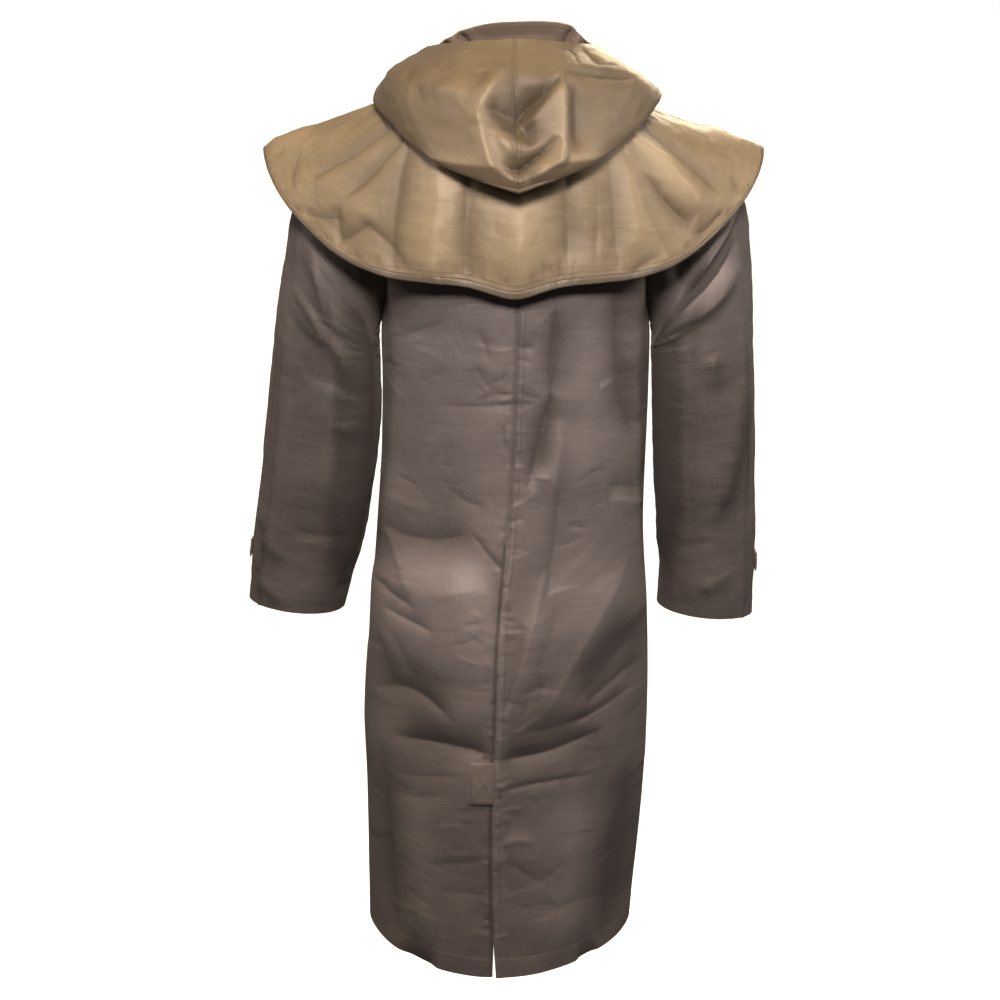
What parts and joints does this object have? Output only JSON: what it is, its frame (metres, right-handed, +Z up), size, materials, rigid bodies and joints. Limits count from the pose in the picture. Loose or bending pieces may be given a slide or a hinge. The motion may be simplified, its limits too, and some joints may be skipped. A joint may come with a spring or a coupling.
{
  "type": "hooded cape coat",
  "caption": "Long hooded coat with a shoulder cape, stand collar, two-piece sleeves and a back vent, hollow and shaped as worn, to keep rain off.",
  "frame": {"origin": "middle of the neck opening at the height of the nape, where the wearer carries the coat", "axes": "+Z up, +Y the way the wearer faces, +X to the wearer's right"},
  "size_m": [0.7047, 0.3854, 1.2707],
  "materials": {
    "coat_cloth": "close brown weave, proofed, with a soft satin sheen",
    "cape_cloth": "close brown weave, proofed, with a soft satin sheen",
    "binding": "folded tape, edge-stitched",
    "collar_cloth": "close brown weave, proofed, doubled and edge-stitched",
    "stud": "satin dark brown enamel"
  },
  "bodies": {
    "root": {"back_left_yoke": "coat_cloth", "back_left_waist": "coat_cloth", "back_left_skirt": "coat_cloth", "back_right_yoke": "coat_cloth", "back_right_waist": "coat_cloth", "back_right_skirt": "coat_cloth", "front_left_yoke": "coat_cloth", "front_left_waist": "coat_cloth", "front_left_skirt": "coat_cloth", "front_right_yoke": "coat_cloth", "front_right_waist": "coat_cloth", "front_right_skirt": "coat_cloth", "sleeve_top_left": "coat_cloth", "sleeve_top_right": "coat_cloth", "sleeve_under_left": "coat_cloth", "sleeve_under_right": "coat_cloth", "cuff_tab_left": "coat_cloth", "cuff_tab_right": "coat_cloth", "vent_tab": "coat_cloth", "cape_back": "cape_cloth", "cape_front_left": "cape_cloth", "cape_front_right": "cape_cloth", "hood_left": "cape_cloth", "hood_right": "cape_cloth", "cape_binding": "binding", "collar": "collar_cloth", "cuff_stud_left": "stud", "cuff_stud_right": "stud", "front_stud_1": "stud", "front_stud_2": "stud", "front_stud_3": "stud", "front_stud_4": "stud", "front_stud_5": "stud"}
  },
  "joints": []
}
